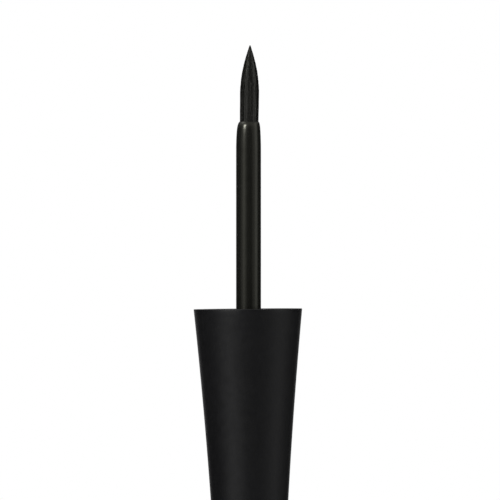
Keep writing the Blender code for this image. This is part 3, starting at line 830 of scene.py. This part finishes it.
fibre_points, fibre_faces, fibre_tone = fibres()
backing_corners = [
    (0.0, tuft_foot, 0.0), (tuft_radius, tuft_foot, cut_round),
    (tuft_radius, tuft_low.z, cut_round), (0.0, tuft_low.z, 0.0),
]
backing_points, backing_faces = turned(rounded(backing_corners), slim_turns, centre_x=cap_x)
backing_points[:, 0] += nose_lean * np.exp((backing_points[:, 2] - nose_z) / nose_lean_length)
backing_faces = [[i + len(fibre_points) for i in face] for face in backing_faces]
tuft_black = (0.0114, 0.0113, 0.0103)
tuft_fibre = bpy.data.materials.new("tuft_fibre_black")
tuft_fibre.use_nodes = True
tuft_tree = tuft_fibre.node_tree
tuft_shader = tuft_tree.nodes["Principled BSDF"]
tuft_tone = node(tuft_tree, "Attribute", attribute_name="fibre_tone").outputs["Fac"]
tuft_shift = node(tuft_tree, "MapRange", {"Value": tuft_tone, "To Min": 0.4, "To Max": 1.6})
tuft_colour = node(tuft_tree, "VectorMath", {0: tuft_black, "Scale": tuft_shift.outputs["Result"]},
                   operation="SCALE")
tuft_sheen = node(tuft_tree, "MapRange", {"Value": tuft_tone, "To Min": 0.26, "To Max": 0.17})
tuft_tree.links.new(tuft_colour.outputs["Vector"], tuft_shader.inputs["Base Color"])
tuft_tree.links.new(tuft_sheen.outputs["Result"], tuft_shader.inputs["Roughness"])
tuft_shader.inputs["Specular Tint"].default_value = (1.0, 1.0, 0.9, 1.0)
tuft_shader.inputs["Coat Weight"].default_value = 0.3
tuft_shader.inputs["Coat Roughness"].default_value = 0.10
tuft_points = np.concatenate((fibre_points, backing_points))
tuft = piece_from("brush_fibres", tuft_points, fibre_faces + backing_faces, "applicator",
                  "tuft_black", tuft_fibre, "brush_tuft")
tuft_tones = np.concatenate((fibre_tone, np.full(len(backing_points), middle_tone)))
tone_layer = tuft.data.attributes.new("fibre_tone", "FLOAT", "POINT")
tone_layer.data.foreach_set("value", tuft_tones.astype(np.float32))


# The studio.
# A pale floor that fades to white away from the object, a white surround, soft boxes on both sides
# with a key light, and a sheet that only reflections see: dark, so that black plastic stays black,
# and glowing in patches, which are painted reflections.

floor_radius = 4.0
floor_sides = 64


def set_up(name, points, faces, material):
    """A piece of the studio, which isn't part of the object."""
    mesh = bpy.data.meshes.new(name)
    mesh.from_pydata(points.tolist(), [], faces)
    mesh.materials.append(material)
    piece = bpy.data.objects.new(name, mesh)
    bpy.context.scene.collection.objects.link(piece)
    return piece


def bare_material(name):
    """A material with nothing but its output, and its node tree."""
    material = bpy.data.materials.new(name)
    material.use_nodes = True
    material.node_tree.nodes.remove(material.node_tree.nodes["Principled BSDF"])
    return material, material.node_tree


def faded(tree, value, start, end, low, high):
    """A number that goes smoothly from low, where the value is start, to high, where it is end."""
    fade = node(tree, "MapRange", {"Value": value, "From Min": start, "From Max": end,
                                   "To Min": low, "To Max": high},
                interpolation_type="SMOOTHSTEP")
    return fade.outputs["Result"]


def joined(tree, first, second, operation):
    """Two numbers put together by a sum, a product or the larger of the two."""
    return node(tree, "Math", {0: first, 1: second}, operation=operation).outputs[0]


def seen_directly(tree):
    """1 for what the camera sees, in a mirror or glass too, and 0 for light that bounces."""
    path = node(tree, "LightPath").outputs
    seen = joined(tree, path["Is Camera Ray"], path["Is Glossy Ray"], "MAXIMUM")
    return joined(tree, seen, path["Is Transmission Ray"], "MAXIMUM")


floor_paper, floor_tree = bare_material("floor_paper")
floor_diffuse = node(floor_tree, "BsdfDiffuse", {"Color": (0.86, 0.86, 0.86, 1.0)})
floor_white = node(floor_tree, "Emission", {"Color": (1.0, 1.0, 1.0, 1.0), "Strength": 1.0})
floor_place = node(floor_tree, "TexCoord").outputs["Object"]
floor_distance = node(floor_tree, "VectorMath", {0: floor_place}, operation="LENGTH")
floor_fade = faded(floor_tree, floor_distance.outputs["Value"], start=0.12, end=0.50,
                   low=0.0, high=1.0)
floor_share = joined(floor_tree, floor_fade, seen_directly(floor_tree), "MULTIPLY")
floor_mix = node(floor_tree, "MixShader", {0: floor_share, 1: floor_diffuse.outputs[0],
                                           2: floor_white.outputs[0]})
floor_tree.links.new(floor_mix.outputs[0], floor_tree.nodes["Material Output"].inputs["Surface"])
floor_side = np.arange(floor_sides)
floor_angle = 2 * np.pi * floor_side / floor_sides
floor_points = np.zeros((floor_sides + 1, 3))
floor_points[:-1, 0] = floor_radius * np.cos(floor_angle)
floor_points[:-1, 1] = floor_radius * np.sin(floor_angle)
floor_faces = np.stack((np.full(floor_sides, floor_sides), floor_side,
                        (floor_side + 1) % floor_sides), axis=1)
floor = set_up("floor", floor_points, floor_faces.tolist(), floor_paper)
floor.visible_glossy = False


def facing(azimuth, elevation):
    """The unit vector towards a place in the studio from its middle. Azimuth 0 is in front and
    90 is to the right, in degrees."""
    a, e = math.radians(azimuth), math.radians(elevation)
    return Vector((math.sin(a) * math.cos(e), -math.cos(a) * math.cos(e), math.sin(e)))


# The sheet round the studio is seen only in reflections. It is dark but glows below, behind, above
# and in a patch low on the right: painted reflections on the plastic, which light nothing.
cloth_radius = 1.3
cloth_rows = 25
cloth_turns = 48
reflection_sheet_glow, cloth_tree = bare_material("reflection_sheet_glow")
cloth_place = node(cloth_tree, "TexCoord").outputs["Object"]
cloth_patch = node(cloth_tree, "VectorMath", {0: cloth_place, 1: facing(106, -24) * cloth_radius},
                   operation="DISTANCE")
cloth_at = node(cloth_tree, "SeparateXYZ", {"Vector": cloth_place}).outputs
cloth_foot = faded(cloth_tree, cloth_at["Z"], start=-0.12, end=-0.65, low=0.02, high=0.40)
cloth_back = faded(cloth_tree, cloth_at["Y"], start=1.10, end=1.26, low=0.0, high=0.45)
cloth_over = faded(cloth_tree, cloth_at["Z"], start=0.35, end=0.68, low=0.0, high=0.40)
# The glowing patch low on the right: a painted reflection along the cap's right edge.
cloth_low = faded(cloth_tree, cloth_patch.outputs["Value"], start=0.45, end=0.09,
                  low=0.0, high=0.66)
cloth_tone = joined(cloth_tree, cloth_foot, cloth_back, "ADD")
cloth_tone = joined(cloth_tree, cloth_tone, cloth_over, "ADD")
cloth_tone = joined(cloth_tree, cloth_tone, cloth_low, "ADD")
cloth_glow = node(cloth_tree, "Emission", {"Color": (1.0, 1.0, 1.0, 1.0), "Strength": cloth_tone})
cloth_tree.links.new(cloth_glow.outputs[0], cloth_tree.nodes["Material Output"].inputs["Surface"])
cloth_up = np.linspace(0.0, np.pi, cloth_rows)
cloth_outline = cloth_radius * np.stack((np.sin(cloth_up), np.cos(cloth_up)), axis=1)
cloth = set_up("reflection_sheet", *turned(cloth_outline, cloth_turns), reflection_sheet_glow)
cloth.visible_camera = cloth.visible_diffuse = False
cloth.visible_transmission = cloth.visible_shadow = False

world = bpy.data.worlds.new("white_surround")
bpy.context.scene.world = world
world.use_nodes = True
world.cycles.sampling_method = "NONE"
world_tree = world.node_tree
world_tree.nodes.clear()
world_strength = node(world_tree, "MapRange", {"Value": seen_directly(world_tree),
                                               "To Min": 0.8, "To Max": 1.0})
world_back = node(world_tree, "Background", {"Color": (1.0, 1.0, 1.0, 1.0),
                                             "Strength": world_strength.outputs["Result"]})
world_out = node(world_tree, "OutputWorld")
world_tree.links.new(world_back.outputs[0], world_out.inputs["Surface"])
lit_z = 0.075


def soft_box(name, azimuth, elevation, distance, width, height, radiance):
    """A flat lamp that faces the applicator. Its power is its radiance times pi times its area."""
    target = Vector((cap_x, 0.0, lit_z))
    out = facing(azimuth, elevation)
    lamp = bpy.data.lights.new(name, "AREA")
    lamp.shape = "RECTANGLE"
    lamp.size, lamp.size_y = width, height
    lamp.energy = radiance * math.pi * width * height
    box = bpy.data.objects.new(name, lamp)
    box.location = target + out * distance
    box.rotation_mode = "QUATERNION"
    box.rotation_quaternion = out.to_track_quat("Z", "Y")
    box.visible_camera = False
    bpy.context.scene.collection.objects.link(box)


soft_box("soft_box_left", -46, 10, distance=0.70, width=0.70, height=0.49, radiance=0.27)
soft_box("soft_box_right", 64, 14, distance=0.70, width=0.76, height=0.49, radiance=0.335)
soft_box("soft_box_far_right", 75, 14, distance=0.70, width=0.36, height=0.49, radiance=0.52)
soft_box("strip_light", -44, 10.5, distance=0.75, width=0.16, height=0.34, radiance=0.50)
soft_box("key_light", -42.5, 23, distance=0.75, width=0.17, height=0.14, radiance=35.0)
soft_box("high_light", -90, 48, distance=0.70, width=0.30, height=0.30, radiance=2.2)


# The camera.
# A long lens level with the stem, from the front, framed as the photograph is: 73.7 mm across at
# the applicator, with the stem a hair left of the middle.

view_distance = 1.2
view_width = 0.07366
view_off_x = 0.000216
view_z = 0.07667
camera_data = bpy.data.cameras.new("camera")
camera_data.sensor_width = 36.0
camera_data.lens = camera_data.sensor_width * view_distance / view_width
camera_data.clip_start = 0.05
camera_data.clip_end = 20.0
camera = bpy.data.objects.new("camera", camera_data)
camera.location = (cap_x + view_off_x, -view_distance, view_z)
camera.rotation_euler = (math.pi / 2, 0.0, 0.0)
bpy.context.scene.collection.objects.link(camera)
bpy.context.scene.camera = camera
bpy.context.scene.view_settings.view_transform = "Standard"
